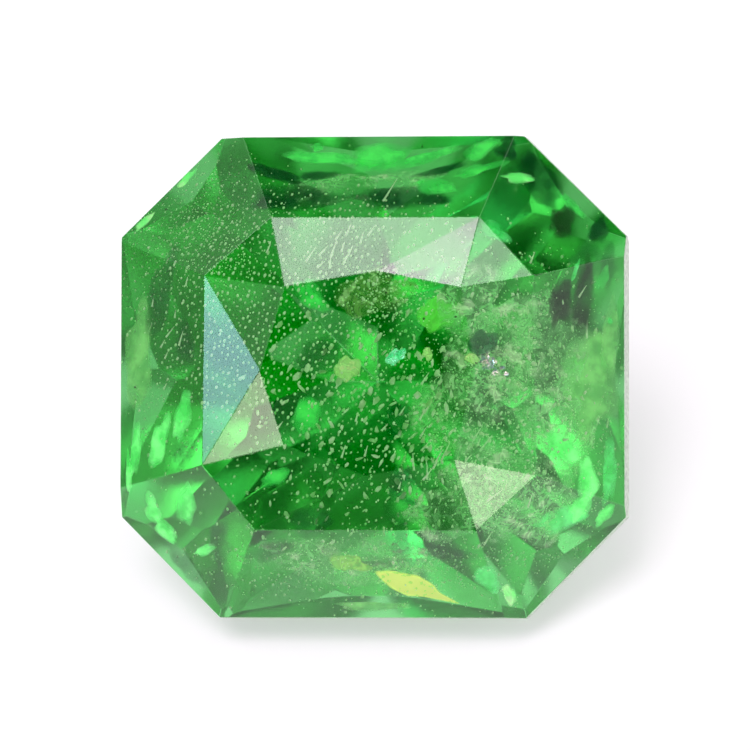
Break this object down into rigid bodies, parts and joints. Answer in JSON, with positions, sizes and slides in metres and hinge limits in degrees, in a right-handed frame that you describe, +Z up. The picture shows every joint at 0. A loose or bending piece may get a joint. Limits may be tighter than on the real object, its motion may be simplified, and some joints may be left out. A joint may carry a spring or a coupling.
{
  "type": "faceted tsavorite garnet",
  "caption": "Loose square radiant-cut tsavorite garnet with cropped corners, a polished transparent green gemstone lying on one pavilion facet, to be set, dopped or shown.",
  "frame": {"origin": "on the ground under the middle of the stone's bounding box, as it lies on its south main facet", "axes": "+X along the girdle's length, +Z up; the table faces up and towards -Y, 43 degrees from vertical"},
  "size_m": [0.0066, 0.005, 0.0048],
  "materials": {
    "tsavorite": "polished transparent green, with pale pinpoint inclusions and a fine-ground girdle"
  },
  "bodies": {
    "root": {"faceted_stone": "tsavorite"}
  },
  "joints": []
}
